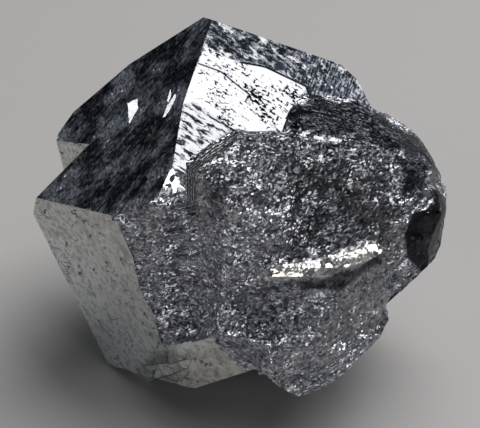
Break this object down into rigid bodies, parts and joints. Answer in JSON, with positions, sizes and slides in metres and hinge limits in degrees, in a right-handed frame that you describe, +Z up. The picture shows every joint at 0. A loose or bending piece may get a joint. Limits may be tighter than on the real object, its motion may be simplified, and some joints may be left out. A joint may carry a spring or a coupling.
{
  "type": "skutterudite specimen",
  "caption": "Cluster of intergrown cuboctahedral metallic crystals with a rough broken front, resting on a flat cut of its underside",
  "frame": {"origin": "centre of the bounding box's bottom, on the flat cut that the specimen rests on", "axes": "+Z up; +X along the specimen's longest extent, to the right when the broken side is seen; -Y out of the broken side"},
  "size_m": [0.0242, 0.0208, 0.0209],
  "materials": {
    "tin_white_metal": "bright tin-white metallic lustre on the crystal faces, dark blue-grey tarnish in places, granular glittering fracture"
  },
  "bodies": {
    "root": {"skutterudite_cluster": "tin_white_metal"}
  },
  "joints": []
}
